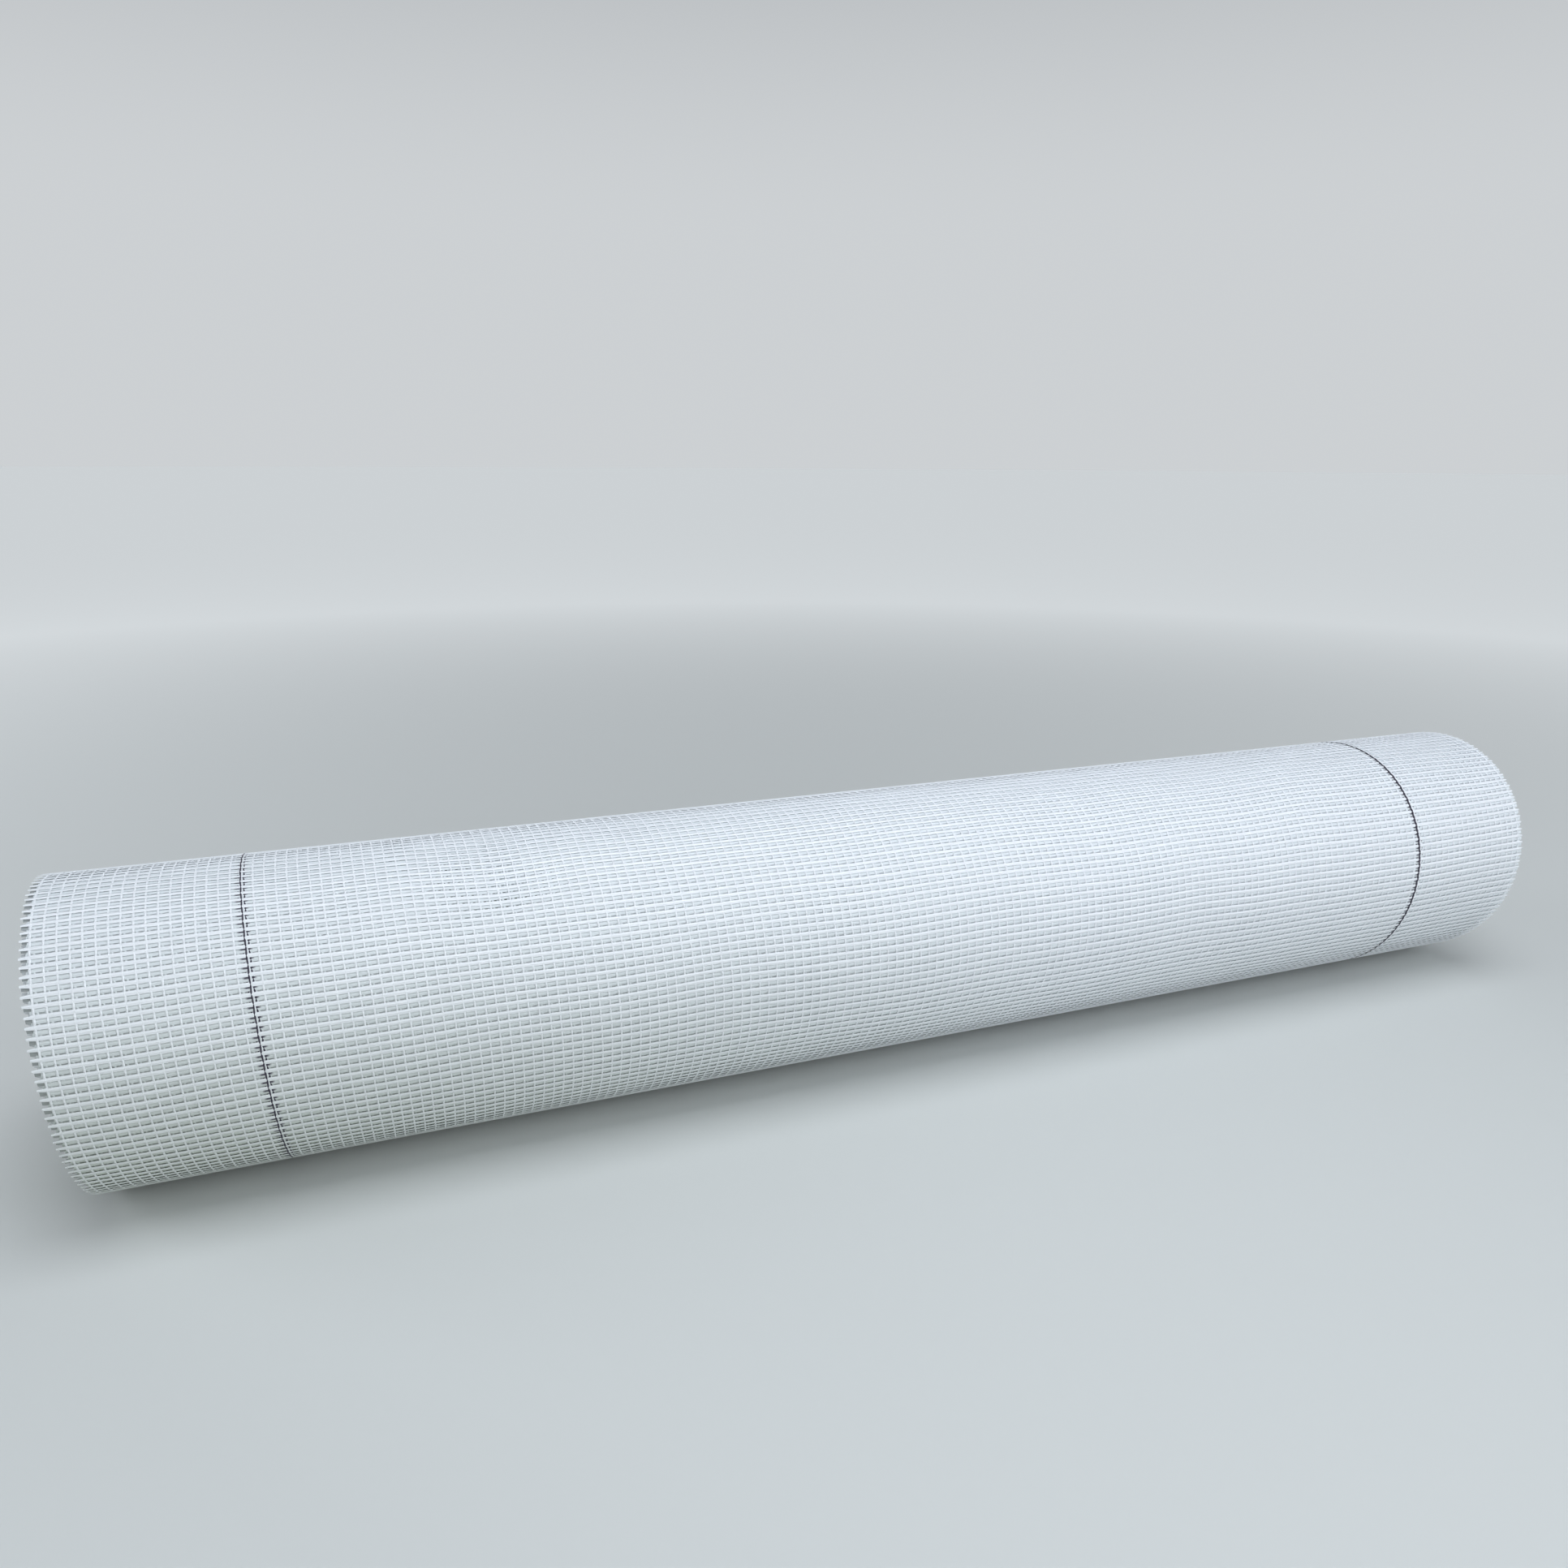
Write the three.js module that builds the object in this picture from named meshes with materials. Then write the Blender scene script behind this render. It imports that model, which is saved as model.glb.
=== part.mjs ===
// Roll of coated glass fibre mesh, as used for reinforcing render and plaster.
// A web 1 m wide is wound on itself round an open bore, with no core tube, and lies on its side.
// A coloured marker yarn runs round the roll near each end, to show how far two strips overlap.
// Millimetres. +X runs along the roll, +Z is up, and the origin is under the middle, on the floor.
import * as THREE from "three";

// The roll.
const ROLL_LENGTH = 1000; // the width that the web is woven to
const ROLL_RADIUS = 89; // to the outside of the last turn
const BORE_RADIUS = 21; // where the first turn was wound round the winder's shaft
const FACETS = 60; // flats round the roll

// The edges of the turns, which show as rings on both ends. Each ring stands for several turns.
const TURN_RING_PITCH = 8.5;
const TURN_NOTCH_WIDTH = 2.2;
const TURN_NOTCH_DEPTH = 2.4;

// The marker yarns, two twisted ends each, seen where they run round the last turn.
const MARKER_WIDTH = 1.7;
const MARKER_THICKNESS = 0.8;
const LEFT_MARKER_FROM_END = 100.5;
const RIGHT_MARKER_FROM_END = 106;
const MARKER_CLEARANCE = 0.3; // between a marker yarn and the turns that it lies in

const mesh_white = new THREE.MeshStandardMaterial({ color: 0xdfe7f0, roughness: 0.55, metalness: 0 });
const marker_grey = new THREE.MeshStandardMaterial({ color: 0x3a3646, roughness: 0.6, metalness: 0 });

// Points of a profile, given as [distance along the roll, radius of the flats], turned about the roll's axis.
// The first facet is centred straight down, so that the roll has a flat to rest on.
function turned(profile) {
  const half_facet = Math.PI / FACETS;
  const corner_share = 1 / Math.cos(half_facet);
  const points = profile.map(([along, radius]) => new THREE.Vector2(radius * corner_share, along));
  points.push(points[0].clone());
  return new THREE.LatheGeometry(points, FACETS, Math.PI + half_facet);
}

// The end face at the given side (-1 or 1), from the bore out to the last turn.
function end_rings(side) {
  const end = (side * ROLL_LENGTH) / 2;
  const notch_floor = end - side * TURN_NOTCH_DEPTH;
  const ring_count = Math.round((ROLL_RADIUS - BORE_RADIUS) / TURN_RING_PITCH);
  const pitch = (ROLL_RADIUS - BORE_RADIUS) / ring_count;
  const outline = [[end, BORE_RADIUS]];
  for (let ring = 1; ring < ring_count; ring++) {
    const radius = BORE_RADIUS + ring * pitch;
    outline.push([end, radius - TURN_NOTCH_WIDTH / 2]);
    outline.push([notch_floor, radius]);
    outline.push([end, radius + TURN_NOTCH_WIDTH / 2]);
  }
  outline.push([end, ROLL_RADIUS]);
  return outline;
}

// The shallow groove round the roll that a marker yarn lies in.
function marker_seat(centre) {
  const half_width = MARKER_WIDTH / 2 + MARKER_CLEARANCE;
  const floor_radius = ROLL_RADIUS - MARKER_THICKNESS - MARKER_CLEARANCE;
  return [
    [centre - half_width, ROLL_RADIUS],
    [centre - half_width, floor_radius],
    [centre + half_width, floor_radius],
    [centre + half_width, ROLL_RADIUS],
  ];
}

const marker_centres = {
  marker_yarn_left: -ROLL_LENGTH / 2 + LEFT_MARKER_FROM_END,
  marker_yarn_right: ROLL_LENGTH / 2 - RIGHT_MARKER_FROM_END,
};

function wound_mesh() {
  const left_end = end_rings(-1);
  const right_end = end_rings(1).reverse();
  const seats = Object.values(marker_centres).flatMap(marker_seat);
  return turned([...left_end, ...seats, ...right_end]);
}

function marker_yarn(centre) {
  const low = centre - MARKER_WIDTH / 2;
  const high = centre + MARKER_WIDTH / 2;
  const inside = ROLL_RADIUS - MARKER_THICKNESS;
  return turned([
    [low, inside],
    [low, ROLL_RADIUS],
    [high, ROLL_RADIUS],
    [high, inside],
  ]);
}

const roll = new THREE.Group();
roll.position.z = ROLL_RADIUS;

// A turned piece is made about Y, so it is laid down to put its axis along the roll.
function add_turned(name, geometry, material) {
  const piece = new THREE.Mesh(geometry, material);
  piece.name = name;
  piece.rotation.z = -Math.PI / 2;
  roll.add(piece);
}

add_turned("mesh_roll", wound_mesh(), mesh_white);
for (const [name, centre] of Object.entries(marker_centres)) {
  add_turned(name, marker_yarn(centre), marker_grey);
}

export default roll;
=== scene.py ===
import math

import bpy
from mathutils import Matrix, Vector


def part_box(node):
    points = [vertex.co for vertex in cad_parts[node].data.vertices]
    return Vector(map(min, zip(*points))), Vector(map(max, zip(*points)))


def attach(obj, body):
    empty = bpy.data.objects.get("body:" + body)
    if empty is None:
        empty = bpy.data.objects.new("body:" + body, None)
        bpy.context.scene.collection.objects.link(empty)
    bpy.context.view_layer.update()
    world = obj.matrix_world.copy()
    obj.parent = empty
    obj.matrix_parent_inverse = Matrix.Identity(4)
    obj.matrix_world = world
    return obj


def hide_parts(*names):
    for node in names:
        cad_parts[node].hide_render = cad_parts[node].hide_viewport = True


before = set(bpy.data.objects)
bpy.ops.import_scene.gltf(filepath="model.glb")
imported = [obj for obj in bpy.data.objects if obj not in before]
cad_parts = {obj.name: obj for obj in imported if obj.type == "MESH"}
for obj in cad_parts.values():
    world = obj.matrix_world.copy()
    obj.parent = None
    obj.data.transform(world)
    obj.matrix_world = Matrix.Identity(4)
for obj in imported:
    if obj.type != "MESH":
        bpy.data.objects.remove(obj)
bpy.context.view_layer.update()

MM = 0.001

# The roll, as the solids have it.
ROLL_LOW, ROLL_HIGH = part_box("mesh_roll")
WEB_WIDTH = ROLL_HIGH.x - ROLL_LOW.x
ROLL_RADIUS = (ROLL_HIGH.z - ROLL_LOW.z) / 2
AXIS_HEIGHT = (ROLL_HIGH.z + ROLL_LOW.z) / 2
BORE_RADIUS = 21 * MM

# The web: leno pairs of warp yarns run round the roll, and single wefts run along it.
PAIRS = 177
WEFT_PITCH = 4.98 * MM
EDGE_PAIR_INSET = 4.9 * MM  # the wefts run on past the last pair by this much
PAIR_PITCH = (WEB_WIDTH - 2 * EDGE_PAIR_INSET) / (PAIRS - 1)
FIRST_PAIR_PLACE = -WEB_WIDTH / 2 + EDGE_PAIR_INSET
LEFT_MARKER_PAIR = 17
RIGHT_MARKER_PAIR = PAIRS - 19
END_WIDTH = 0.66 * MM
END_THICKNESS = 0.2 * MM
CROSSED_WIDTH = 0.95 * MM  # where the two ends of a pair cross, and flatten
SIDE_SWING = 0.28 * MM
RISE = 0.17 * MM
WEFT_WIDTH = 2.15 * MM
WEFT_THICKNESS = 0.24 * MM
WEFT_LIFT = 0.09 * MM
PRESSED_WEFT_WIDTH = 2.25 * MM  # in the turns below, which those above press flatter
TAIL_WIDTH = 1.2 * MM

# The winding. The web's outer end is tucked in behind the line that the roll rests on.
TURN_THICKNESS = 0.47 * MM
WEB_RADIUS = ROLL_RADIUS - RISE - END_THICKNESS / 2
FREE_END_ANGLE = math.radians(200)
WOVEN_TURNS = 3  # the outer turns that are made yarn by yarn
SKEW = 9 * MM  # how far the wefts wander off straight
TURN_SWAY = 1.7 * MM  # how far a turn lies to one side of its neighbours, near the outside
SETTLED_SWAY = 0.5 * MM  # the same further in
SWAY_STEP, SWAY_START = 2.5, -0.2  # radians a turn, which puts the turns out of step
CHANGEOVER = 0.06  # turns past the free end at which a turn is counted as begun
CORE_SINK = 0.2 * MM  # of the wound body's surface under the yarns on it

# Tints.
# Painted shade: each painted turn is darker than the one above it, outermost first.
TURN_SHADE_TINTS = ("#ECF1F5", "#E1E7EA", "#D2D9DA", "#BFC6C4")  # of the painted turns, outermost first
# Painted shade in the deep gaps, darker and violet near the markers, where dark yarn of many turns
# lies beneath.
PAINTED_GAP_SHADE = "#4F5550"
MARKER_PAINTED_GAP_SHADE = "#2F2A36"
MARKER_LINE_TINT = "#39333F"
# A violet grey for the upper edge of the wefts below, beside the markers.
MARKER_EDGE_TINT = "#3A3446"
# Painted shade and green reflected light, towards the left end and low down.
GREEN_SHADE_TINT = "#A3AB92"


def spiral_length(turns):
    """Length of web in this many turns, counted from the free end."""
    return 2 * math.pi * turns * WEB_RADIUS - math.pi * TURN_THICKNESS * turns**2


TURN_WEFTS = math.ceil(spiral_length(1) / WEFT_PITCH) + 1  # in the outer turn


def linear(hex_colour):
    """A colour as Blender takes it, from its sRGB hex value."""
    parts = [int(hex_colour[i : i + 2], 16) / 255 for i in (1, 3, 5)]
    return [p / 12.92 if p <= 0.04045 else ((p + 0.055) / 1.055) ** 2.4 for p in parts] + [1]


def add(tree, kind, sources=None, **settings):
    """Add a node with its settings, and link or fill the inputs that sources names."""
    node = tree.nodes.new(kind)
    for name, value in settings.items():
        setattr(node, name, value)
    for key, value in (sources or {}).items():
        if isinstance(value, bpy.types.Node):
            value = value.outputs[0]
        if isinstance(value, bpy.types.NodeSocket):
            tree.links.new(value, node.inputs[key])
        else:
            node.inputs[key].default_value = value
    return node


FLOAT, INT, VECTOR = "NodeSocketFloat", "NodeSocketInt", "NodeSocketVector"
MATERIAL, GEOMETRY = "NodeSocketMaterial", "NodeSocketGeometry"
MATH, VECTOR_MATH = "ShaderNodeMath", "ShaderNodeVectorMath"


def new_tree(name, inputs, outputs):
    """A node group with these inputs, each a kind of socket and its value, and these outputs."""
    tree = bpy.data.node_groups.new(name, "GeometryNodeTree")
    for label, (kind, value) in inputs.items():
        socket = tree.interface.new_socket(label, in_out="INPUT", socket_type=kind)
        if value is not None:
            socket.default_value = value
    for label, kind in outputs.items():
        tree.interface.new_socket(label, in_out="OUTPUT", socket_type=kind)
    return tree, tree.nodes.new("NodeGroupInput").outputs, tree.nodes.new("NodeGroupOutput")


def winding_tree():
    """Takes a point of the flat web, as across, along and above it, to its place on the roll."""
    tree, given, result = new_tree(
        "winding",
        {
            "Flat": (VECTOR, None),
            "Web Radius": (FLOAT, WEB_RADIUS),
            "Turn Thickness": (FLOAT, TURN_THICKNESS),
            "Free End Angle": (FLOAT, FREE_END_ANGLE),
            "Axis Height": (FLOAT, AXIS_HEIGHT),
            "Skew": (FLOAT, SKEW),
            "Weft Stray": (FLOAT, 0.55 * MM),
            "Warp Stray": (FLOAT, 0.7 * MM),
            "Turn Sway": (FLOAT, TURN_SWAY),
            "Settled Sway": (FLOAT, SETTLED_SWAY),
            "Crease": (FLOAT, 2.2 * MM),
            "Crease Place": (FLOAT, -268 * MM),
            "Crease Angle": (FLOAT, math.radians(14)),
        },
        {"Place": VECTOR},
    )
    flat = add(tree, "ShaderNodeSeparateXYZ", {0: given["Flat"]})
    along = flat.outputs["Y"]
    # On this spiral the radius is the root of R^2 - t s / pi, and the angle turned is
    # 2 s / (R + radius).
    lost = add(tree, MATH, {0: along, 1: given["Turn Thickness"]}, operation="MULTIPLY")
    lost = add(tree, MATH, {0: lost, 1: math.pi}, operation="DIVIDE")
    square = add(tree, MATH, {0: given["Web Radius"], 1: 2.0}, operation="POWER")
    left = add(tree, MATH, {0: square, 1: lost}, operation="SUBTRACT")
    radius = add(tree, MATH, {0: left}, operation="SQRT")
    both = add(tree, MATH, {0: radius, 1: given["Web Radius"]}, operation="ADD")
    twice = add(tree, MATH, {0: along, 1: 2.0}, operation="MULTIPLY")
    turned = add(tree, MATH, {0: twice, 1: both}, operation="DIVIDE")
    unshifted = add(tree, MATH, {0: given["Free End Angle"], 1: turned}, operation="SUBTRACT")
    # The web was wound on a little askew, the same in every turn, so this goes by the place on
    # the roll.
    around = add(tree, MATH, {0: unshifted}, operation="SINE")
    above = add(tree, MATH, {0: unshifted}, operation="COSINE")
    on_roll = add(
        tree,
        "ShaderNodeCombineXYZ",
        {
            "X": add(tree, MATH, {0: flat.outputs["X"], 1: ROLL_RADIUS}, operation="DIVIDE"),
            "Y": around,
            "Z": above,
        },
    )
    on_web = add(tree, "ShaderNodeCombineXYZ", {"X": flat.outputs["X"], "Y": along})
    shift = None
    # Each way that yarns stray: how far, where its patches are counted from, and their scale.
    for amount, axis, place, patch in (
        ("Skew", "Y", on_roll, (0.52, 0.6, 0.6)),
        ("Weft Stray", "Y", on_web, (1 / (60 * MM), 1 / (5.2 * MM), 1)),
        ("Warp Stray", "X", on_web, (1 / (5.8 * MM), 1 / (70 * MM), 1)),
    ):
        patches = add(tree, VECTOR_MATH, {0: place, 1: patch}, operation="MULTIPLY")
        noise = add(tree, "ShaderNodeTexNoise", {"Vector": patches, "Scale": 1.0, "Detail": 1.0})
        centred = add(tree, MATH, {0: noise, 1: 0.5}, operation="SUBTRACT")
        distance = add(tree, MATH, {0: centred, 1: given[amount]}, operation="MULTIPLY")
        step = add(tree, "ShaderNodeCombineXYZ", {axis: distance})
        shift = add(tree, VECTOR_MATH, {0: shift, 1: step}, operation="ADD") if shift else step
    # A crease, where the wefts meet in a shallow V.
    beside = add(
        tree, MATH, {0: flat.outputs["X"], 1: given["Crease Place"]}, operation="SUBTRACT"
    )
    beside = add(tree, MATH, {0: beside}, operation="ABSOLUTE")
    around = add(tree, MATH, {0: unshifted, 1: given["Crease Angle"]}, operation="SUBTRACT")
    around = add(tree, MATH, {0: around}, operation="COSINE")
    near = add(
        tree,
        "ShaderNodeMapRange",
        {"Value": around, "From Min": 0.82, "From Max": 0.98, "To Max": given["Crease"]},
        interpolation_type="SMOOTHSTEP",
    )
    crease = add(
        tree,
        "ShaderNodeMapRange",
        {"Value": beside, "From Max": 50 * MM, "To Min": near, "To Max": 0.0},
    )
    dip = add(tree, "ShaderNodeCombineXYZ", {"Y": crease})
    shift = add(tree, VECTOR_MATH, {0: shift, 1: dip}, operation="SUBTRACT")
    shift = add(tree, "ShaderNodeSeparateXYZ", {0: shift})
    moved_x = add(tree, MATH, {0: flat.outputs["X"], 1: shift.outputs["X"]}, operation="ADD")
    swung = add(tree, MATH, {0: shift.outputs["Y"], 1: radius}, operation="DIVIDE")
    angle = add(tree, MATH, {0: unshifted, 1: swung}, operation="SUBTRACT")
    # Each turn lies a little to one side of the one below, and changes over on the hidden side.
    turns = add(
        tree, MATH, {0: turned, 1: 0.5 / math.pi, 2: -CHANGEOVER}, operation="MULTIPLY_ADD"
    )
    turn = add(tree, MATH, {0: turns}, operation="FLOOR")
    through = add(tree, MATH, {0: turns}, operation="FRACT")
    changed = add(
        tree,
        "ShaderNodeMapRange",
        {"Value": through, "From Min": 0.7, "From Max": 1.0},
        interpolation_type="SMOOTHSTEP",
    )
    sways = []
    for later in (0, 1):
        first = SWAY_START + later * SWAY_STEP
        count = add(tree, MATH, {0: turn, 1: SWAY_STEP, 2: first}, operation="MULTIPLY_ADD")
        sways.append(add(tree, MATH, {0: count}, operation="SINE"))
    sway = add(
        tree,
        "ShaderNodeMapRange",
        {"Value": changed, "To Min": sways[0], "To Max": sways[1]},
    )
    sway_here = add(
        tree,
        "ShaderNodeMapRange",
        {
            "Value": turn,
            "From Min": 6.0,
            "From Max": 12.0,
            "To Min": given["Turn Sway"],
            "To Max": given["Settled Sway"],
        },
    )
    sideways = add(tree, MATH, {0: sway, 1: sway_here, 2: moved_x}, operation="MULTIPLY_ADD")
    sine = add(tree, MATH, {0: angle}, operation="SINE")
    cosine = add(tree, MATH, {0: angle}, operation="COSINE")
    reach = add(tree, MATH, {0: radius, 1: flat.outputs["Z"]}, operation="ADD")
    back = add(tree, MATH, {0: reach, 1: sine}, operation="MULTIPLY")
    depth = add(tree, MATH, {0: back, 1: -1.0}, operation="MULTIPLY")
    height = add(
        tree, MATH, {0: reach, 1: cosine, 2: given["Axis Height"]}, operation="MULTIPLY_ADD"
    )
    place = add(
        tree, "ShaderNodeCombineXYZ", {"X": sideways, "Y": depth, "Z": height}
    )
    tree.links.new(place.outputs[0], result.inputs["Place"])
    return tree


WINDING = winding_tree()


def yarn_blanks(tree, count, length, segments):
    """Straight three-sided yarns, one for each number, with section and number as attributes."""
    line = add(tree, "GeometryNodeMeshLine", {"Count": count})
    numbered = add(
        tree,
        "GeometryNodeStoreNamedAttribute",
        {"Geometry": line, "Name": "number", "Value": add(tree, "GeometryNodeInputIndex")},
        data_type="INT",
        domain="POINT",
    )
    tube = add(
        tree,
        "GeometryNodeMeshCylinder",
        {"Vertices": 3, "Side Segments": segments, "Radius": 1.0, "Depth": length},
        fill_type="NGON",
    )
    marked = add(
        tree,
        "GeometryNodeStoreNamedAttribute",
        {"Geometry": tube, "Name": "blank", "Value": add(tree, "GeometryNodeInputPosition")},
        data_type="FLOAT_VECTOR",
        domain="POINT",
    )
    copies = add(tree, "GeometryNodeInstanceOnPoints", {"Points": numbered, "Instance": marked})
    yarns = add(tree, "GeometryNodeRealizeInstances", {"Geometry": copies})
    number = add(tree, "GeometryNodeInputNamedAttribute", {"Name": "number"}, data_type="INT")
    blank = add(
        tree, "GeometryNodeInputNamedAttribute", {"Name": "blank"}, data_type="FLOAT_VECTOR"
    )
    return yarns, number.outputs["Attribute"], add(tree, "ShaderNodeSeparateXYZ", {0: blank})


def finish_yarns(tree, result, yarns, flat, along, number, blank, materials):
    """Wind the yarns on, note each point's place on its yarn for the finish, and add materials."""
    place = add(tree, "GeometryNodeGroup", {"Flat": flat}, node_tree=WINDING)
    wound = add(tree, "GeometryNodeSetPosition", {"Geometry": yarns, "Position": place})
    noted = add(
        tree,
        "GeometryNodeStoreNamedAttribute",
        {
            "Geometry": wound,
            "Name": "yarn_place",
            "Value": add(
                tree,
                "ShaderNodeCombineXYZ",
                {"X": along, "Y": number, "Z": blank.outputs["Y"]},
            ),
        },
        data_type="FLOAT_VECTOR",
        domain="POINT",
    )
    # The faces stay flat, because smooth ones would make the shallow tapes look round.
    finished = noted
    for material, selection in materials:
        finished = add(
            tree,
            "GeometryNodeSetMaterial",
            {"Geometry": finished, "Selection": selection, "Material": material},
        )
    tree.links.new(finished.outputs[0], result.inputs["Geometry"])


def warp_tree():
    """Warp yarns: pairs of ends that change sides between wefts, or plain bands for turns below."""
    tree, given, result = new_tree(
        "warp_yarns",
        {
            "First Pair": (INT, 0),
            "Pairs": (INT, 1),
            "Ends In Pair": (INT, 2),
            "First Pair Place": (FLOAT, FIRST_PAIR_PLACE),
            "Pair Pitch": (FLOAT, PAIR_PITCH),
            "Weft Pitch": (FLOAT, WEFT_PITCH),
            "Start": (FLOAT, -WEFT_PITCH / 2),
            "Length": (FLOAT, 1.0),
            "Segments": (INT, 8),
            "Width": (FLOAT, END_WIDTH),
            "Crossed Width": (FLOAT, CROSSED_WIDTH),
            "Thickness": (FLOAT, END_THICKNESS),
            "Swing": (FLOAT, SIDE_SWING),
            "Rise": (FLOAT, RISE),
            "Ends Apart": (FLOAT, 0.0),
            "Second On Top": (FLOAT, 0.0),
            "Material": (MATERIAL, None),
            "Second Material": (MATERIAL, None),
        },
        {"Geometry": GEOMETRY},
    )
    ends = add(tree, MATH, {0: given["Pairs"], 1: given["Ends In Pair"]}, operation="MULTIPLY")
    yarns, number, blank = yarn_blanks(tree, ends, given["Length"], given["Segments"])
    half = add(
        tree, MATH, {0: given["Length"], 1: 0.5, 2: given["Start"]}, operation="MULTIPLY_ADD"
    )
    along = add(tree, MATH, {0: blank.outputs["Z"], 1: half}, operation="ADD")
    crossing = add(tree, MATH, {0: along, 1: given["Weft Pitch"]}, operation="DIVIDE")
    half_turns = add(tree, MATH, {0: crossing, 1: math.pi}, operation="MULTIPLY")
    swing = add(tree, MATH, {0: half_turns}, operation="COSINE")
    whole_turns = add(tree, MATH, {0: half_turns, 1: 2.0}, operation="MULTIPLY")
    rise = add(tree, MATH, {0: whole_turns}, operation="COSINE")
    in_pair = add(tree, MATH, {0: number, 1: given["Ends In Pair"]}, operation="MODULO")
    spread = add(tree, MATH, {0: given["Ends In Pair"], 1: 1.0}, operation="SUBTRACT")
    side = add(tree, MATH, {0: in_pair, 1: 2.0}, operation="MULTIPLY")
    side = add(tree, MATH, {0: side, 1: spread}, operation="SUBTRACT")
    pair = add(tree, MATH, {0: number, 1: given["Ends In Pair"]}, operation="DIVIDE")
    pair = add(tree, MATH, {0: pair}, operation="FLOOR")
    pair = add(tree, MATH, {0: pair, 1: given["First Pair"]}, operation="ADD")
    centre = add(
        tree,
        MATH,
        {0: pair, 1: given["Pair Pitch"], 2: given["First Pair Place"]},
        operation="MULTIPLY_ADD",
    )
    parted = add(tree, MATH, {0: given["Ends Apart"], 1: -0.5}, operation="MULTIPLY")
    centre = add(tree, MATH, {0: parted, 1: side, 2: centre}, operation="MULTIPLY_ADD")
    aside = add(tree, MATH, {0: side, 1: given["Swing"]}, operation="MULTIPLY")
    centre = add(tree, MATH, {0: aside, 1: swing, 2: centre}, operation="MULTIPLY_ADD")
    width = add(
        tree,
        "ShaderNodeMapRange",
        {
            "Value": rise,
            "From Min": -1.0,
            "From Max": 1.0,
            "To Min": given["Crossed Width"],
            "To Max": given["Width"],
        },
    )
    share = add(tree, MATH, {0: blank.outputs["Y"], 1: 1 / math.sqrt(3)}, operation="MULTIPLY")
    across = add(tree, MATH, {0: share, 1: width, 2: centre}, operation="MULTIPLY_ADD")
    lifted = add(tree, MATH, {0: side, 1: given["Rise"]}, operation="MULTIPLY")
    over = add(tree, MATH, {0: side, 1: given["Second On Top"]}, operation="MULTIPLY")
    lifted = add(tree, MATH, {0: lifted, 1: rise, 2: over}, operation="MULTIPLY_ADD")
    crown = add(tree, MATH, {0: blank.outputs["X"], 1: 0.25}, operation="SUBTRACT")
    crown = add(tree, MATH, {0: crown, 1: 1 / 1.5}, operation="MULTIPLY")
    above = add(
        tree, MATH, {0: crown, 1: given["Thickness"], 2: lifted}, operation="MULTIPLY_ADD"
    )
    flat = add(tree, "ShaderNodeCombineXYZ", {"X": across, "Y": along, "Z": above})
    is_second = add(tree, MATH, {0: in_pair, 1: 0.5}, operation="GREATER_THAN")
    materials = [(given["Material"], True), (given["Second Material"], is_second)]
    finish_yarns(tree, result, yarns, flat, along, number, blank, materials)
    return tree


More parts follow.
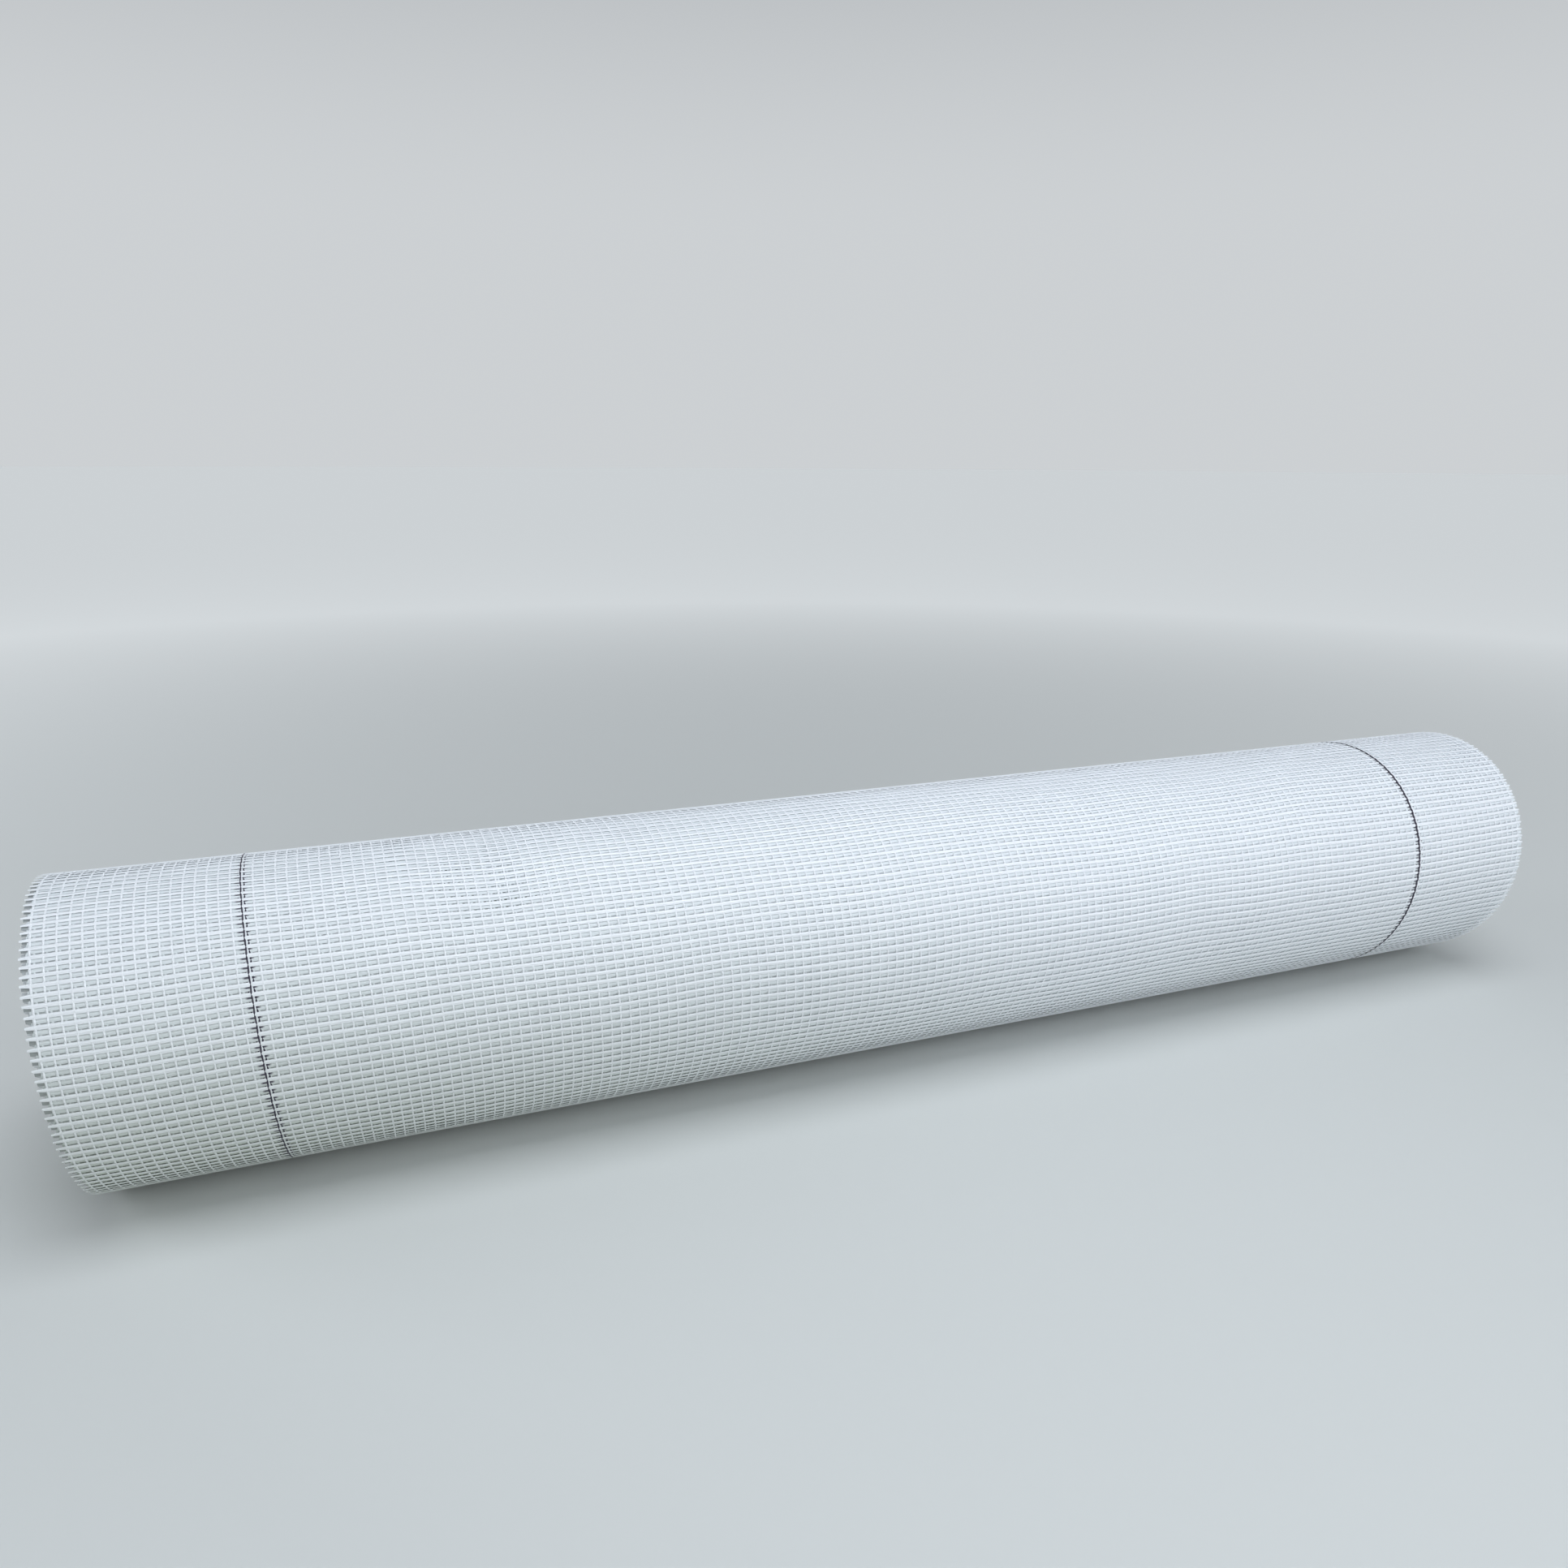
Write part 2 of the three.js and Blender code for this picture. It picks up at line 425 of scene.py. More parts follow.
def weft_tree():
    """Weft yarns, from tail to tail, a little narrower and bent at the tails."""
    tree, given, result = new_tree(
        "weft_yarns",
        {
            "First Weft": (INT, 0),
            "Wefts": (INT, 1),
            "Weft Pitch": (FLOAT, WEFT_PITCH),
            "Web Width": (FLOAT, WEB_WIDTH),
            "Blank Length": (FLOAT, PAIR_PITCH * (PAIRS + 1)),
            "Segments": (INT, PAIRS + 1),
            "Width": (FLOAT, WEFT_WIDTH),
            "Tail Width": (FLOAT, TAIL_WIDTH),
            "Thickness": (FLOAT, WEFT_THICKNESS),
            "Lift": (FLOAT, WEFT_LIFT),
            "Least Trim": (FLOAT, 0.0),
            "Tail Trim": (FLOAT, 0.6 * MM),
            "Tail Bend": (FLOAT, 0.35 * MM),
            "Seed": (INT, 7),
            "Material": (MATERIAL, None),
        },
        {"Geometry": GEOMETRY},
    )
    yarns, number, blank = yarn_blanks(
        tree, given["Wefts"], given["Blank Length"], given["Segments"]
    )
    weft = add(tree, MATH, {0: number, 1: given["First Weft"]}, operation="ADD")
    half_width = add(tree, MATH, {0: given["Web Width"], 1: 0.5}, operation="MULTIPLY")
    right_end = add(tree, MATH, {0: blank.outputs["Z"], 1: 0.0}, operation="GREATER_THAN")
    chance_of = add(tree, MATH, {0: weft, 1: 2.0, 2: right_end}, operation="MULTIPLY_ADD")
    chance = add(tree, "FunctionNodeRandomValue", {"ID": chance_of, "Seed": given["Seed"]})
    lean = add(tree, "FunctionNodeRandomValue", {2: -1.0, 3: 1.0, "ID": chance_of, "Seed": 19})
    trim = add(
        tree,
        MATH,
        {0: chance.outputs[1], 1: given["Tail Trim"], 2: given["Least Trim"]},
        operation="MULTIPLY_ADD",
    )
    reach = add(tree, MATH, {0: half_width, 1: trim}, operation="SUBTRACT")
    behind = add(tree, MATH, {0: reach, 1: -1.0}, operation="MULTIPLY")
    across = add(tree, MATH, {0: blank.outputs["Z"], 1: reach}, operation="MINIMUM")
    across = add(tree, MATH, {0: across, 1: behind}, operation="MAXIMUM")
    out = add(tree, MATH, {0: across}, operation="ABSOLUTE")
    is_tail = add(
        tree,
        "ShaderNodeMapRange",
        {"Value": out, "From Min": WEB_WIDTH / 2 - EDGE_PAIR_INSET, "From Max": reach},
    )
    width = add(
        tree,
        "ShaderNodeMapRange",
        {"Value": is_tail, "To Min": given["Width"], "To Max": given["Tail Width"]},
    )
    bend = add(tree, MATH, {0: lean.outputs[1], 1: given["Tail Bend"]}, operation="MULTIPLY")
    bend = add(tree, MATH, {0: bend, 1: is_tail}, operation="MULTIPLY")
    along = add(
        tree, MATH, {0: weft, 1: given["Weft Pitch"], 2: bend}, operation="MULTIPLY_ADD"
    )
    share = add(tree, MATH, {0: blank.outputs["Y"], 1: -1 / math.sqrt(3)}, operation="MULTIPLY")
    along = add(tree, MATH, {0: share, 1: width, 2: along}, operation="MULTIPLY_ADD")
    crown = add(tree, MATH, {0: blank.outputs["X"], 1: 0.25}, operation="SUBTRACT")
    crown = add(tree, MATH, {0: crown, 1: 1 / 1.5}, operation="MULTIPLY")
    above = add(
        tree, MATH, {0: crown, 1: given["Thickness"], 2: given["Lift"]}, operation="MULTIPLY_ADD"
    )
    flat = add(tree, "ShaderNodeCombineXYZ", {"X": across, "Y": along, "Z": above})
    finish_yarns(tree, result, yarns, flat, across, number, blank, [(given["Material"], True)])
    return tree


def tail_tree():
    """The cut tails of the wefts on one end of the roll, for turns of which only these show."""
    tree, given, result = new_tree(
        "weft_tails",
        {
            "First Weft": (INT, 0),
            "Wefts": (INT, 1),
            "Side": (FLOAT, 1.0),
            "Weft Pitch": (FLOAT, WEFT_PITCH),
            "Root": (FLOAT, WEB_WIDTH / 2 - EDGE_PAIR_INSET - 1 * MM),
            "Length": (FLOAT, EDGE_PAIR_INSET + 1 * MM),
            "Width": (FLOAT, WEFT_WIDTH),
            "Tail Width": (FLOAT, TAIL_WIDTH),
            "Thickness": (FLOAT, WEFT_THICKNESS),
            "Tail Bend": (FLOAT, 0.8 * MM),
            "Tail Lift": (FLOAT, 0.35 * MM),
            "Ring Pitch": (FLOAT, (ROLL_RADIUS - BORE_RADIUS) / 8),
            "Ring Notch": (FLOAT, 3.3 * MM),
            "Shortest": (FLOAT, 0.68),
            "Longest": (FLOAT, 0.82),
            "Seed": (INT, 7),
            "Material": (MATERIAL, None),
        },
        {"Geometry": GEOMETRY},
    )
    yarns, number, blank = yarn_blanks(tree, given["Wefts"], 1.0, 1)
    weft = add(tree, MATH, {0: number, 1: given["First Weft"]}, operation="ADD")
    out = add(tree, MATH, {0: blank.outputs["Z"], 1: 0.5}, operation="ADD")
    cut = add(
        tree,
        "FunctionNodeRandomValue",
        {2: given["Shortest"], 3: given["Longest"], "ID": weft, "Seed": given["Seed"]},
    )
    lean = add(tree, "FunctionNodeRandomValue", {2: -1.0, 3: 1.0, "ID": weft, "Seed": 19})
    lift = add(tree, "FunctionNodeRandomValue", {2: -1.0, 3: 1.0, "ID": weft, "Seed": 43})
    # Groups of turns stand a little proud of those beside them, which shows as rings.
    start = add(tree, MATH, {0: weft, 1: given["Weft Pitch"]}, operation="MULTIPLY")
    square = add(
        tree,
        MATH,
        {0: start, 1: -TURN_THICKNESS / math.pi, 2: WEB_RADIUS**2},
        operation="MULTIPLY_ADD",
    )
    radius = add(tree, MATH, {0: square}, operation="SQRT")
    out_from_bore = add(tree, MATH, {0: radius, 1: BORE_RADIUS}, operation="SUBTRACT")
    rings = add(tree, MATH, {0: out_from_bore, 1: given["Ring Pitch"]}, operation="DIVIDE")
    from_notch = add(tree, MATH, {0: rings, 1: 0.5}, operation="PINGPONG")
    notch = add(
        tree,
        "ShaderNodeMapRange",
        {"Value": from_notch, "From Max": 0.3, "To Min": given["Ring Notch"], "To Max": 0.0},
        interpolation_type="SMOOTHSTEP",
    )
    length = add(tree, MATH, {0: cut.outputs[1], 1: given["Length"]}, operation="MULTIPLY")
    length = add(tree, MATH, {0: length, 1: notch}, operation="SUBTRACT")
    across = add(tree, MATH, {0: out, 1: length, 2: given["Root"]}, operation="MULTIPLY_ADD")
    across = add(tree, MATH, {0: across, 1: given["Side"]}, operation="MULTIPLY")
    width = add(
        tree,
        "ShaderNodeMapRange",
        {"Value": out, "To Min": given["Width"], "To Max": given["Tail Width"]},
    )
    bend = add(tree, MATH, {0: lean.outputs[1], 1: given["Tail Bend"]}, operation="MULTIPLY")
    bend = add(tree, MATH, {0: bend, 1: out}, operation="MULTIPLY")
    along = add(
        tree, MATH, {0: weft, 1: given["Weft Pitch"], 2: bend}, operation="MULTIPLY_ADD"
    )
    share = add(tree, MATH, {0: blank.outputs["Y"], 1: -1 / math.sqrt(3)}, operation="MULTIPLY")
    share = add(tree, MATH, {0: share, 1: given["Side"]}, operation="MULTIPLY")
    along = add(tree, MATH, {0: share, 1: width, 2: along}, operation="MULTIPLY_ADD")
    crown = add(tree, MATH, {0: blank.outputs["X"], 1: 0.25}, operation="SUBTRACT")
    crown = add(tree, MATH, {0: crown, 1: 1 / 1.5}, operation="MULTIPLY")
    rise = add(tree, MATH, {0: lift.outputs[1], 1: given["Tail Lift"]}, operation="MULTIPLY")
    rise = add(tree, MATH, {0: rise, 1: out}, operation="MULTIPLY")
    above = add(
        tree, MATH, {0: crown, 1: given["Thickness"], 2: rise}, operation="MULTIPLY_ADD"
    )
    flat = add(tree, "ShaderNodeCombineXYZ", {"X": across, "Y": along, "Z": above})
    finish_yarns(tree, result, yarns, flat, across, number, blank, [(given["Material"], True)])
    return tree


def grow(name, tree, sizes):
    """Run a tree with these sizes and keep what it makes as a plain piece."""
    piece = bpy.data.objects.new(name, bpy.data.meshes.new(name))
    bpy.context.scene.collection.objects.link(piece)
    modifier = piece.modifiers.new("grow", "NODES")
    modifier.node_group = tree
    for socket in tree.interface.items_tree:
        if socket.in_out == "INPUT" and socket.name in sizes:
            modifier[socket.identifier] = sizes[socket.name]
    seen = bpy.context.evaluated_depsgraph_get()
    grown = bpy.data.meshes.new_from_object(
        piece.evaluated_get(seen), preserve_all_data_layers=True, depsgraph=seen
    )
    piece.modifiers.clear()
    piece.data = grown
    return piece


def inner_turns(material):
    """The turns below the woven ones: one wound body with its bore and the web's coordinates."""
    steps = 240
    half = WEB_WIDTH / 2 - EDGE_PAIR_INSET
    vertices, web_place = [], []
    for step in range(steps + 1):
        share = step / steps
        turns = WOVEN_TURNS + share
        radius = WEB_RADIUS - turns * TURN_THICKNESS + CORE_SINK
        angle = FREE_END_ANGLE - 2 * math.pi * share
        along = spiral_length(turns)
        in_bore = math.tau * share * BORE_RADIUS
        for across, r, s in (
            (-half, radius, along),
            (half, radius, along),
            (half, BORE_RADIUS, in_bore),
            (-half, BORE_RADIUS, in_bore),
        ):
            vertices.append((across, -r * math.sin(angle), AXIS_HEIGHT + r * math.cos(angle)))
            web_place.append((across, s, WEB_RADIUS - turns * TURN_THICKNESS))
    faces = []
    for step in range(steps):
        a, b = 4 * step, 4 * step + 4
        for side in range(4):
            after = (side + 1) % 4
            faces.append((a + side, a + after, b + after, b + side))
    # The step between the last column and the first, where the turn below the woven ones begins.
    last = 4 * steps
    faces.append((last, last + 1, 1, 0))
    faces.append((last + 1, last + 2, 1))
    faces.append((0, last + 3, last))
    mesh = bpy.data.meshes.new("inner_turns")
    mesh.from_pydata(vertices, [], faces)
    stored = mesh.attributes.new("web_place", "FLOAT_VECTOR", "POINT")
    stored.data.foreach_set("vector", [value for point in web_place for value in point])
    mesh.materials.append(material)
    piece = bpy.data.objects.new("inner_turns", mesh)
    bpy.context.scene.collection.objects.link(piece)
    return piece


def new_material(name):
    material = bpy.data.materials.new(name)
    material.use_nodes = True
    tree = material.node_tree
    return material, tree, tree.nodes["Principled BSDF"]


def mixed(tree, share, first, second):
    """The colour this share of the way from the first to the second."""
    mix = add(tree, "ShaderNodeMix", {0: share, 6: first, 7: second}, data_type="RGBA")
    return mix.outputs[2]


def with_painted_green_shade(tree, colour, most):
    """Painted shade with a greyish green reflected light, that the mesh takes on towards the left
    end and low down.
    """
    spot = add(tree, "ShaderNodeTexCoord")
    spot = add(tree, "ShaderNodeSeparateXYZ", {0: spot.outputs["Object"]})
    leftward = add(
        tree,
        "ShaderNodeMapRange",
        {0: spot.outputs["X"], 1: 100 * MM, 2: -420 * MM, 3: 0.1 * most, 4: most},
    )
    low = add(
        tree, "ShaderNodeMapRange", {0: spot.outputs["Z"], 1: 170 * MM, 2: 30 * MM, 3: 0.15, 4: 1.0}
    )
    share = add(tree, MATH, {0: leftward, 1: low}, operation="MULTIPLY")
    return mixed(tree, share, colour, linear(GREEN_SHADE_TINT))


def coated_yarn(name, light, dark, roughness, green_shade_share=0.0, below=False):
    """Glass fibre yarn in a polymer coat: a soft shine, with fine streaks along the filaments.

    In the turns below, a third turn is painted darker as shade, and the wefts beside the markers
    are darker along their upper edge.
    """
    material, tree, surface = new_material(name)
    place = add(tree, "ShaderNodeAttribute", attribute_name="yarn_place")
    streaks = add(
        tree,
        VECTOR_MATH,
        {0: place.outputs["Vector"], 1: (1 / (9 * MM), 7.3, 0)},
        operation="MULTIPLY",
    )
    tone = add(tree, "ShaderNodeTexNoise", {"Vector": streaks, "Scale": 1.0, "Detail": 2.0})
    colour = mixed(tree, tone, linear(dark), linear(light))
    if green_shade_share:
        colour = with_painted_green_shade(tree, colour, green_shade_share)
    if below:
        here = add(tree, "ShaderNodeSeparateXYZ", {0: place.outputs["Vector"]})
        # The wefts of the third turn lie deep, and are painted darker as shade, to show as small
        # dark gaps.
        third_turn = spiral_length(2) / WEFT_PITCH - TURN_WEFTS
        third_turn_shade = add(
            tree,
            "ShaderNodeMapRange",
            {0: here.outputs["Y"], 1: third_turn, 2: third_turn + 1, 3: 0.0, 4: 0.6},
        )
        colour = mixed(tree, third_turn_shade, colour, linear(PAINTED_GAP_SHADE))
        # Beside each marker, the wefts below are darkened to a violet grey along their upper edge.
        upper = add(tree, "ShaderNodeMapRange", {0: here.outputs["Z"], 1: -0.05, 2: -0.2})
        for pair in (LEFT_MARKER_PAIR, RIGHT_MARKER_PAIR):
            off = add(
                tree,
                MATH,
                {0: here.outputs["X"], 1: FIRST_PAIR_PLACE + pair * PAIR_PITCH - 1.9 * MM},
                operation="SUBTRACT",
            )
            off = add(tree, MATH, {0: off}, operation="ABSOLUTE")
            near = add(
                tree, "ShaderNodeMapRange", {0: off, 1: 2.2 * MM, 2: 3.6 * MM, 3: 1.0, 4: 0.0}
            )
            darkened = add(tree, MATH, {0: near, 1: upper}, operation="MULTIPLY")
            darkened = add(tree, MATH, {0: darkened, 1: 0.9}, operation="MULTIPLY")
            colour = mixed(tree, darkened, colour, linear(MARKER_EDGE_TINT))
    tree.links.new(colour, surface.inputs["Base Color"])
    surface.inputs["Roughness"].default_value = roughness
    return material


# Near white and a little shiny, so that each yarn has a light side and a soft edge.
white_yarn = coated_yarn("white_coated_glass_yarn", "#FAFCFF", "#F1F5FA", 0.45, green_shade_share=0.42)
# The same yarn painted darker, as painted shade from the turn above, which sets the outer yarns
# off.
shaded_white_yarn = coated_yarn(
    "white_coated_glass_yarn_painted_shade", "#F0F5F9", "#E4EAEE", 0.5, green_shade_share=0.68, below=True
)
# Dark enough to be found at a glance when strips are overlapped.
dark_yarn = coated_yarn("dark_dyed_glass_yarn", "#3B3548", "#25212F", 0.5)


def lower_turns_material():
    """The turns seen through the openings of those above, each painted darker than the one on it as
    painted shade.
    """
    material, tree, surface = new_material("turns_below_painted_darker_with_depth")
    place = add(tree, "ShaderNodeAttribute", attribute_name="web_place")
    web = add(tree, "ShaderNodeSeparateXYZ", {0: place.outputs["Vector"]})
    here = add(tree, "ShaderNodeTexCoord")
    here = add(
        tree, VECTOR_MATH, {0: here.outputs["Object"], 1: (0, 0, AXIS_HEIGHT)}, operation="SUBTRACT"
    )
    here = add(
        tree,
        VECTOR_MATH,
        {0: here, 1: [share / ROLL_RADIUS for share in (0.52, -0.6, 0.6)]},
        operation="MULTIPLY",
    )
    askew = add(tree, "ShaderNodeTexNoise", {"Vector": here, "Scale": 1.0, "Detail": 1.0})
    near_marker = 0.0
    for pair in (LEFT_MARKER_PAIR, RIGHT_MARKER_PAIR):
        off = add(
            tree,
            MATH,
            {0: web.outputs["X"], 1: FIRST_PAIR_PLACE + pair * PAIR_PITCH},
            operation="SUBTRACT",
        )
        off = add(tree, MATH, {0: off}, operation="ABSOLUTE")
        near = add(
            tree,
            "ShaderNodeMapRange",
            {0: off, 1: 1.5 * MM, 2: 5 * MM, 3: 1.0, 4: 0.0},
            interpolation_type="SMOOTHSTEP",
        )
        near_marker = add(tree, MATH, {0: near_marker, 1: near}, operation="ADD")
    # The deep gaps: painted shade, darker beside the markers, where the dark yarn of many turns
    # lies beneath.
    shade = mixed(tree, near_marker, linear(PAINTED_GAP_SHADE), linear(MARKER_PAINTED_GAP_SHADE))
    lost = add(tree, MATH, {0: WEB_RADIUS, 1: web.outputs["Z"]}, operation="SUBTRACT")
    turns = add(tree, MATH, {0: lost, 1: TURN_THICKNESS}, operation="DIVIDE")
    turns = add(tree, MATH, {0: turns, 1: -CHANGEOVER}, operation="ADD")
    turns = add(tree, MATH, {0: turns}, operation="FLOOR")
    for depth in (3, 2, 1, 0):
        # This turn lies a whole circumference further along the web than the one above it.
        further = add(
            tree,
            MATH,
            {
                0: web.outputs["Z"],
                1: 2 * math.pi * depth,
                2: -math.pi * TURN_THICKNESS * depth**2,
            },
            operation="MULTIPLY_ADD",
        )
        along = add(tree, MATH, {0: web.outputs["Y"], 1: further}, operation="ADD")
        skew = add(tree, MATH, {0: askew, 1: -SKEW, 2: along}, operation="MULTIPLY_ADD")
        wefts = add(tree, MATH, {0: skew, 1: WEFT_PITCH}, operation="DIVIDE")
        from_weft = add(tree, MATH, {0: wefts, 1: 0.5}, operation="PINGPONG")
        turn = add(
            tree,
            MATH,
            {0: turns, 1: SWAY_STEP, 2: SWAY_START + SWAY_STEP * depth},
            operation="MULTIPLY_ADD",
        )
        sway = add(tree, MATH, {0: turn}, operation="SINE")
        aside = add(
            tree, MATH, {0: sway, 1: -TURN_SWAY, 2: web.outputs["X"]}, operation="MULTIPLY_ADD"
        )
        aside = add(tree, MATH, {0: aside, 1: FIRST_PAIR_PLACE}, operation="SUBTRACT")
        pairs = add(tree, MATH, {0: aside, 1: PAIR_PITCH}, operation="DIVIDE")
        from_pair = add(tree, MATH, {0: pairs, 1: 0.5}, operation="PINGPONG")
        weft_half = PRESSED_WEFT_WIDTH / 2 / WEFT_PITCH
        pair_half = (END_WIDTH / 2 + SIDE_SWING) / PAIR_PITCH
        on_weft = add(
            tree,
            "ShaderNodeMapRange",
            {0: from_weft, 1: weft_half - 0.03, 2: weft_half + 0.03, 3: 1.0, 4: 0.0},
        )
        on_pair = add(
            tree,
            "ShaderNodeMapRange",
            {0: from_pair, 1: pair_half - 0.03, 2: pair_half + 0.03, 3: 1.0, 4: 0.0},
        )
        yarn = add(tree, MATH, {0: on_weft, 1: on_pair}, operation="MAXIMUM")
        # Painted shade that deepens turn by turn.
        turn_shade = linear(TURN_SHADE_TINTS[depth])
        left_mark = add(tree, MATH, {0: pairs, 1: LEFT_MARKER_PAIR, 2: 0.07}, operation="COMPARE")
        right_mark = add(
            tree, MATH, {0: pairs, 1: RIGHT_MARKER_PAIR, 2: 0.07}, operation="COMPARE"
        )
        mark = add(tree, MATH, {0: left_mark, 1: right_mark}, operation="ADD")
        inked = mixed(tree, mark, turn_shade, linear(MARKER_LINE_TINT))
        shade = mixed(tree, yarn, shade, inked)
    tree.links.new(with_painted_green_shade(tree, shade, 0.8), surface.inputs["Base Color"])
    surface.inputs["Roughness"].default_value = 0.7
    return material


WARPS, WEFTS, TAILS = warp_tree(), weft_tree(), tail_tree()
woven_wefts = math.ceil(spiral_length(WOVEN_TURNS) / WEFT_PITCH) + 1
all_turns = (WEB_RADIUS - BORE_RADIUS) / TURN_THICKNESS
all_wefts = int(spiral_length(all_turns) / WEFT_PITCH)

pieces = []
for name, first, last in (
    ("warps_left_of_marker", 0, LEFT_MARKER_PAIR - 1),
    ("warps_left_half", LEFT_MARKER_PAIR + 1, PAIRS // 2 - 1),
    ("warps_right_half", PAIRS // 2, RIGHT_MARKER_PAIR - 1),
    ("warps_right_of_marker", RIGHT_MARKER_PAIR + 1, PAIRS - 1),
):
    sizes = {
        "First Pair": first,
        "Pairs": last - first + 1,
        "Length": TURN_WEFTS * WEFT_PITCH,
        "Segments": 2 * TURN_WEFTS,
        "Material": white_yarn,
        "Second Material": white_yarn,
    }
    pieces.append(grow(name, WARPS, sizes))
    below = {
        "First Pair": first,
        "Pairs": last - first + 1,
        "Ends In Pair": 1,
        "Start": spiral_length(1) - 4 * MM,
        "Length": spiral_length(WOVEN_TURNS) - spiral_length(1) + 8 * MM,
        "Segments": 64 * (WOVEN_TURNS - 1),
        "Width": END_WIDTH + 2 * SIDE_SWING,
        "Crossed Width": END_WIDTH + 2 * SIDE_SWING,
        "Swing": 0.0,
        "Rise": 0.0,
        "Material": shaded_white_yarn,
        "Second Material": shaded_white_yarn,
    }
    pieces.append(grow(name + "_below", WARPS, below))
for name, pair, width, crossed_width, apart in (
    ("marker_left", LEFT_MARKER_PAIR, 0.8 * MM, 0.72 * MM, 0.7 * MM),
    ("marker_right", RIGHT_MARKER_PAIR, 2.6 * MM, 1.4 * MM, 1.5 * MM),
):
    sizes = {
        "First Pair": pair,
        "Pairs": 1,
        "Length": woven_wefts * WEFT_PITCH,
        "Segments": 2 * woven_wefts,
        "Width": width,
        "Crossed Width": crossed_width,
        "Swing": 0.14 * MM,
        "Rise": 0.05 * MM,
        "Ends Apart": apart,
        "Second On Top": 0.13 * MM,
        "Material": white_yarn,
        "Second Material": dark_yarn,
    }
    pieces.append(grow(name, WARPS, sizes))
pieces.append(grow("wefts", WEFTS, {"Wefts": TURN_WEFTS, "Material": white_yarn}))
below = {
    "First Weft": TURN_WEFTS,
    "Wefts": woven_wefts - TURN_WEFTS,
    "Segments": 36,
    "Width": PRESSED_WEFT_WIDTH,
    "Tail Width": PRESSED_WEFT_WIDTH,
    "Least Trim": 1.9 * MM,
    "Tail Trim": 0.8 * MM,
    "Material": shaded_white_yarn,
}
pieces.append(grow("wefts_below", WEFTS, below))
for name, side in (("tails_left", -1.0), ("tails_right", 1.0)):
    sizes = {
        "First Weft": woven_wefts,
        "Wefts": all_wefts - woven_wefts,
        "Side": side,
        "Material": white_yarn,
    }
    pieces.append(grow(name, TAILS, sizes))
pieces.append(inner_turns(lower_turns_material()))

for piece in pieces:
    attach(piece, "root")
    if piece.name.startswith("marker"):
        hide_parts("marker_yarn_left" if piece.name == "marker_left" else "marker_yarn_right")
    else:
        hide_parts("mesh_roll")

# A pale floor, round and wide enough that its edge is lost against the studio.
FLOOR_RADIUS, FLOOR_SIDES, FLOOR_GLOW = 40, 64, 0.55
floor_mesh = bpy.data.meshes.new("floor")
corners = [math.tau * side / FLOOR_SIDES for side in range(FLOOR_SIDES)]
rim = [(FLOOR_RADIUS * math.cos(turn), FLOOR_RADIUS * math.sin(turn), 0) for turn in corners]
floor_mesh.from_pydata(rim, [], [tuple(range(FLOOR_SIDES))])
floor = bpy.data.objects.new("floor", floor_mesh)
bpy.context.scene.collection.objects.link(floor)
floor_paint, floor_tree, floor_surface = new_material("pale_floor")
floor_surface.inputs["Base Color"].default_value = linear("#D6D8D5")
floor_surface.inputs["Roughness"].default_value = 0.9
# It glows a little further out, so that it meets the studio behind without a line.
spot = add(floor_tree, "ShaderNodeTexCoord")
away = add(floor_tree, VECTOR_MATH, {0: spot.outputs["Object"]}, operation="LENGTH")
glow = add(
    floor_tree,
    "ShaderNodeMapRange",
    {0: away.outputs["Value"], 1: 0.5, 2: 2.6, 3: 0.0, 4: FLOOR_GLOW},
)
floor_tree.links.new(glow.outputs[0], floor_surface.inputs["Emission Strength"])
floor_surface.inputs["Emission Color"].default_value = linear("#E2E6E9")
floor_mesh.materials.append(floor_paint)

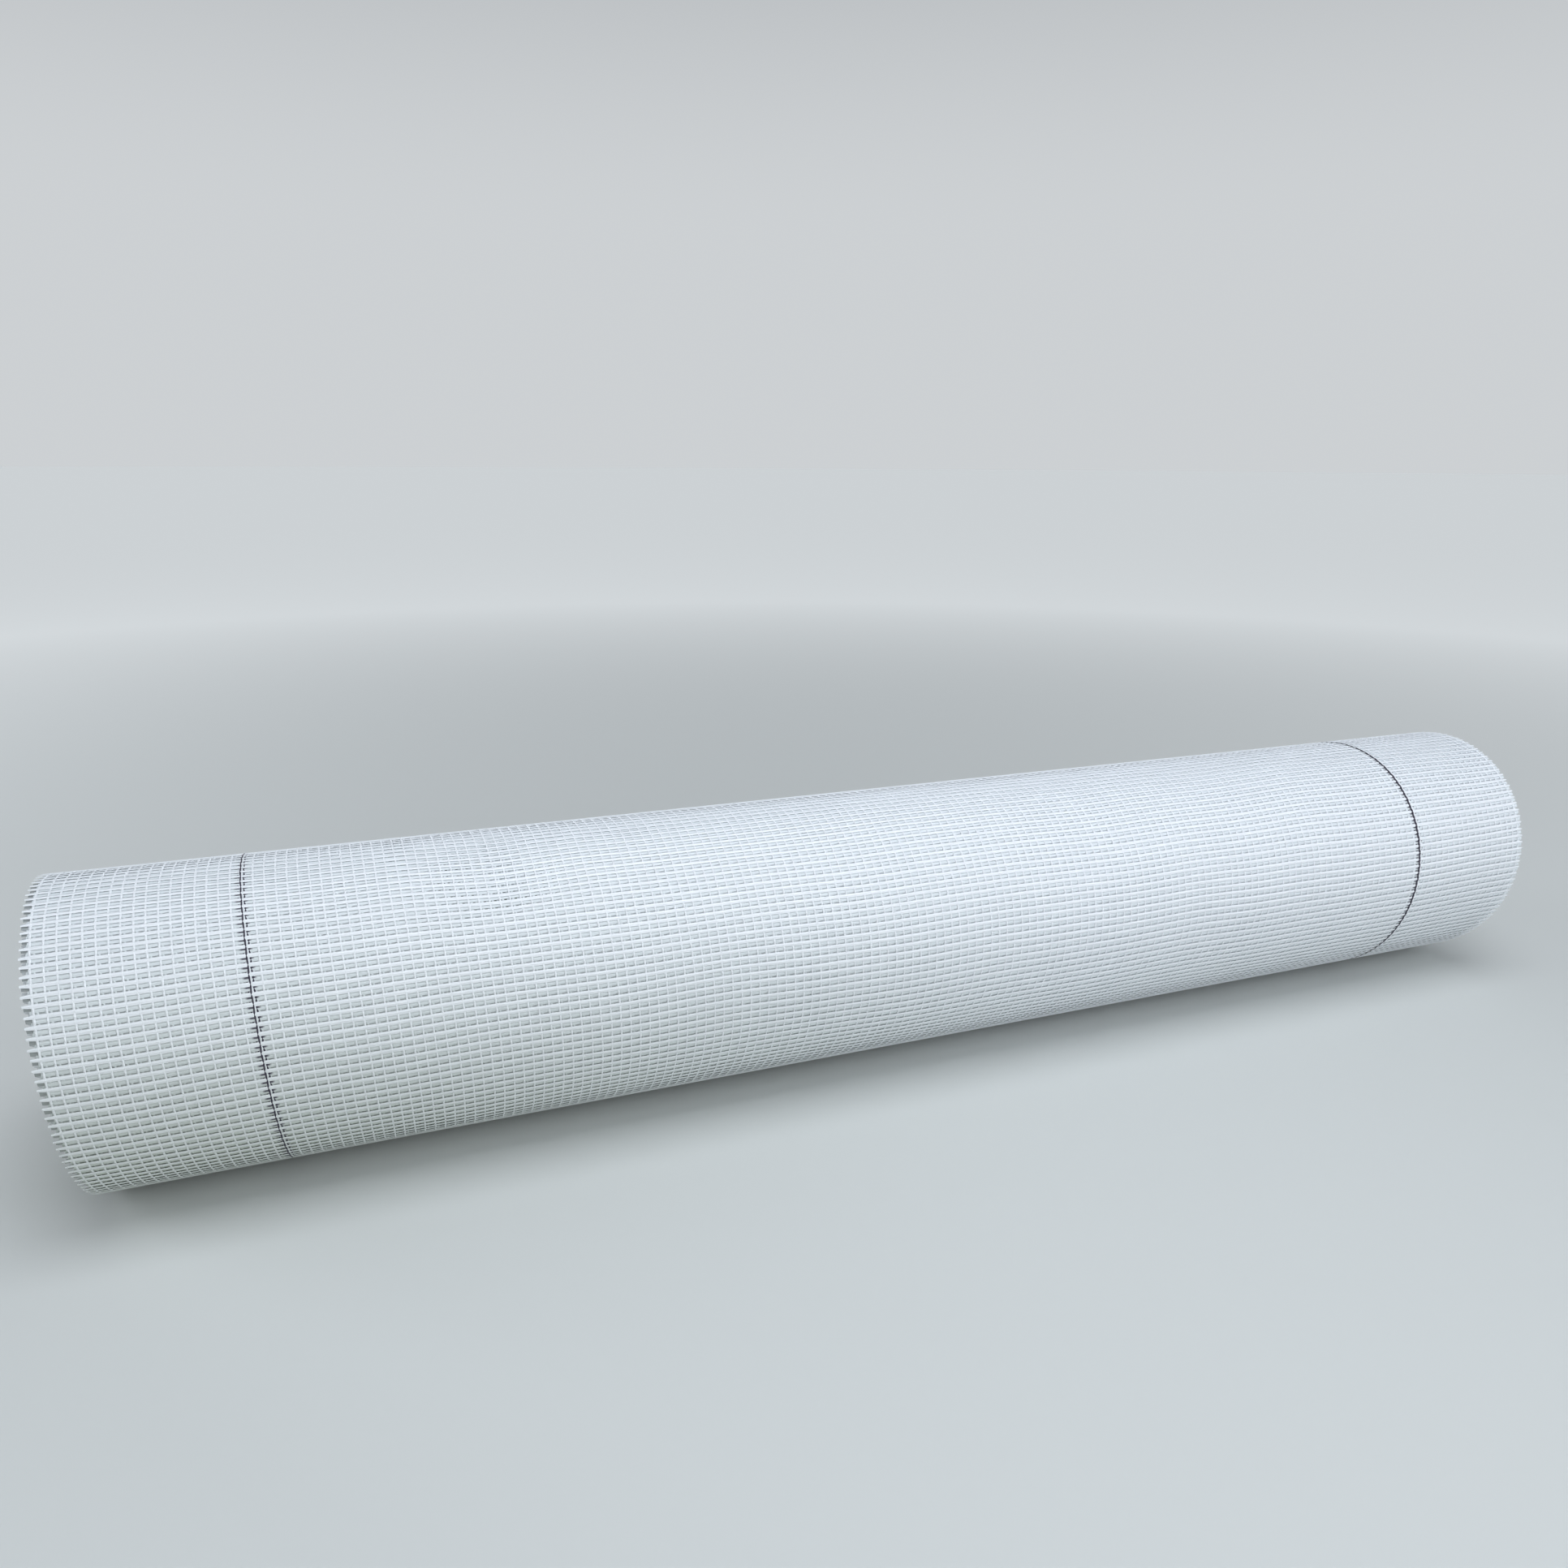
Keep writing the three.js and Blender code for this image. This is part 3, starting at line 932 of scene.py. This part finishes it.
# Soft studio light, shown as it is: brightest at the horizon, with a softbox above and on
# each side that is seen.
bpy.context.scene.view_settings.view_transform = "Standard"
world = bpy.data.worlds.new("studio")
world.use_nodes = True
direction = add(world.node_tree, "ShaderNodeTexCoord")
direction = add(world.node_tree, "ShaderNodeSeparateXYZ", {0: direction.outputs["Generated"]})
overhead = add(
    world.node_tree,
    "ShaderNodeMapRange",
    {0: direction.outputs["Z"], 1: 0.15, 2: 0.6},
    interpolation_type="SMOOTHSTEP",
)
sky = add(
    world.node_tree,
    "ShaderNodeMix",
    {0: overhead, 6: linear("#E2E6E9"), 7: linear("#858B91")},
    data_type="RGBA",
)
world.node_tree.links.new(sky.outputs[2], world.node_tree.nodes["Background"].inputs["Color"])
world.node_tree.nodes["Background"].inputs["Strength"].default_value = 0.8
bpy.context.scene.world = world
for name, place, aim, size, power in (
    ("overhead_softbox", (0.0, -0.3, 1.6), (0, 0, 0), 1.0, 13.1),
    ("right_softbox", (1.9, -1.5, 0.9), (0.3, 0, 0.08), 1.2, 8.2),
    ("front_softbox", (-0.05, -1.0, 0.8), (0.05, 0, 0.09), 0.9, 3.2),
    ("left_softbox", (-2.4, 0.9, 1.0), (-0.5, 0, 0.09), 1.2, 12),
):
    lamp = bpy.data.lights.new(name, "AREA")
    lamp.size = size
    lamp.energy = power
    lamp.color = (0.885, 0.933, 1.0)
    light = bpy.data.objects.new(name, lamp)
    light.location = place
    light.rotation_euler = (Vector(aim) - Vector(place)).to_track_quat("-Z", "Y").to_euler()
    bpy.context.scene.collection.objects.link(light)

# The camera stands where the photograph was taken from: low, and left of the middle.
AZIMUTH, ELEVATION = math.radians(-20.26), math.radians(23.20)
DISTANCE = 739.4 * MM
AIM = Vector((-100.92 * MM, 0, AXIS_HEIGHT))
PAN, TILT = math.radians(0.67), math.radians(1.65)
back = Vector(
    (
        math.sin(AZIMUTH) * math.cos(ELEVATION),
        -math.cos(AZIMUTH) * math.cos(ELEVATION),
        math.sin(ELEVATION),
    )
)
right = (-back).cross(Vector((0, 0, 1))).normalized()
looking = Matrix((right, right.cross(-back), back))
looking = Matrix.Rotation(TILT, 3, "X") @ Matrix.Rotation(PAN, 3, "Y") @ looking
lens = bpy.data.cameras.new("camera")
lens.sensor_width = 36
lens.lens = 25.35
lens.shift_x = 0.0109
lens.shift_y = 0.1168
camera = bpy.data.objects.new("camera", lens)
camera.matrix_world = Matrix.Translation(AIM + back * DISTANCE) @ looking.transposed().to_4x4()
bpy.context.scene.collection.objects.link(camera)
bpy.context.scene.camera = camera
